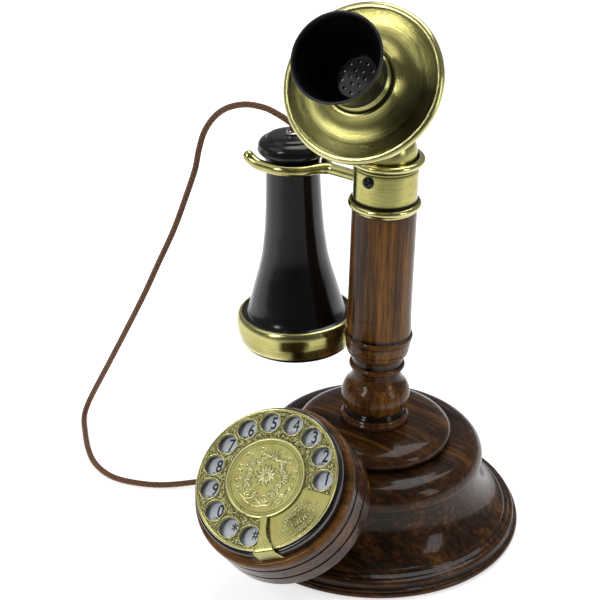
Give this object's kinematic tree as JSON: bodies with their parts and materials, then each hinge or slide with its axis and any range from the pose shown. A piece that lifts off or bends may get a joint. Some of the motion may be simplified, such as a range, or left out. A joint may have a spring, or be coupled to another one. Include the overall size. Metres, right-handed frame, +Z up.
{
  "type": "candlestick telephone",
  "caption": "Candlestick desk telephone with a turned wooden base and column, a tilting brass transmitter, a tilted finger-wheel dial and a receiver hung on a forked hook.",
  "frame": {"origin": "centre of the felt underside, on the column's axis, at table level", "axes": "+Z up the column; the dial faces -Y; the receiver hangs on the -X side"},
  "size_m": [0.2942, 0.2276, 0.3226],
  "materials": {
    "wood": "gloss lacquer over dark walnut stain",
    "brass": "brushed and antiqued",
    "black": "polished",
    "steel": "plain",
    "iron": "as cast",
    "felt": "pressed felt",
    "cord": "braided cloth",
    "enamel": "smooth",
    "board": "printed board",
    "nickel": "bright",
    "blackened": "blackened",
    "nylon": "moulded"
  },
  "bodies": {
    "base": {"felt_pad": "felt", "cover_plate": "steel", "cover_screws": "steel", "base_shell": "wood", "ballast": "iron", "base_plinth": "wood", "column": "wood", "tie_tube": "steel", "tie_nuts": "steel", "circuit_board": "board", "board_parts": "black", "sounder": "black", "line_jack": "black", "cord_grommet": "brass", "receiver_cord": "cord", "collar": "brass", "collar_screws": "blackened", "hook_bracket": "steel", "hook_pin": "steel", "hook_spring": "steel", "hook_switch": "black", "dial_drum": "wood", "dial_ring": "black", "number_plate": "enamel", "dial_frame": "steel", "dial_posts": "steel", "finger_stop": "brass", "stop_screw": "brass", "pulse_contacts": "black", "dial_spring": "steel", "governor_bridge": "steel"},
    "hook": {"hook_lever": "brass"},
    "plunger": {"switch_plunger": "nylon"},
    "neck": {"neck": "brass", "neck_nut": "steel", "tilt_screw": "brass"},
    "transmitter": {"transmitter_cup": "brass", "cup_screws": "steel", "dish": "brass", "mic_capsule": "steel", "mic_grille": "black", "mouthpiece": "black"},
    "receiver": {"receiver_shell": "black", "receiver_cap": "black", "receiver_ferrule": "nickel", "ear_band": "brass", "ear_cap": "black", "receiver_driver": "steel", "receiver_diaphragm": "steel"},
    "dial": {"finger_wheel": "brass", "medallion": "brass", "wheel_screws": "steel", "dial_shaft": "steel", "main_gear": "brass", "pulse_cam": "nylon"},
    "governor": {"governor": "brass"}
  },
  "joints": [
    {"name": "receiver_lift", "type": "slide", "parent": "base", "child": "receiver", "axis": [-0.0489, 0, 0.9988], "range_m": [0, 0.028], "deforming": ["receiver_cord"]},
    {"name": "hook_lift", "type": "hinge", "parent": "base", "child": "hook", "pos_m": [0.005, 0, 0.211], "axis": [0, 1, 0], "range_deg": [0, 6]},
    {"name": "switch_press", "type": "slide", "parent": "base", "child": "plunger", "axis": [0, 0, -1], "range_m": [0, 0.00063]},
    {"name": "neck_swivel", "type": "hinge", "parent": "base", "child": "neck", "pos_m": [0, 0, 0.2286], "axis": [0, 0, 1], "range_deg": [-25, 45]},
    {"name": "transmitter_tilt", "type": "hinge", "parent": "neck", "child": "transmitter", "pos_m": [0, 0, 0.2544], "axis": [-0.9866, -0.1633, 0], "range_deg": [-30, 25]},
    {"name": "dial_turn", "type": "hinge", "parent": "base", "child": "dial", "pos_m": [0, -0.1072, 0.0802], "axis": [0, 0.6293, -0.7771], "range_deg": [0, 333], "stiffness_Nm_per_rad": 0.004, "springref_deg": -85.94},
    {"name": "governor_spin", "type": "hinge", "parent": "base", "child": "governor", "pos_m": [-0.0227, -0.10087, 0.06602], "axis": [0, -0.6293, 0.7771], "range_deg": [0, 1249]}
  ],
  "couplings": [
    {"joint": "hook_lift", "follows": "receiver_lift", "rad_per_m": 3.74},
    {"joint": "switch_press", "follows": "receiver_lift", "ratio": 0.02244},
    {"joint": "governor_spin", "follows": "dial_turn", "ratio": 3.75}
  ]
}
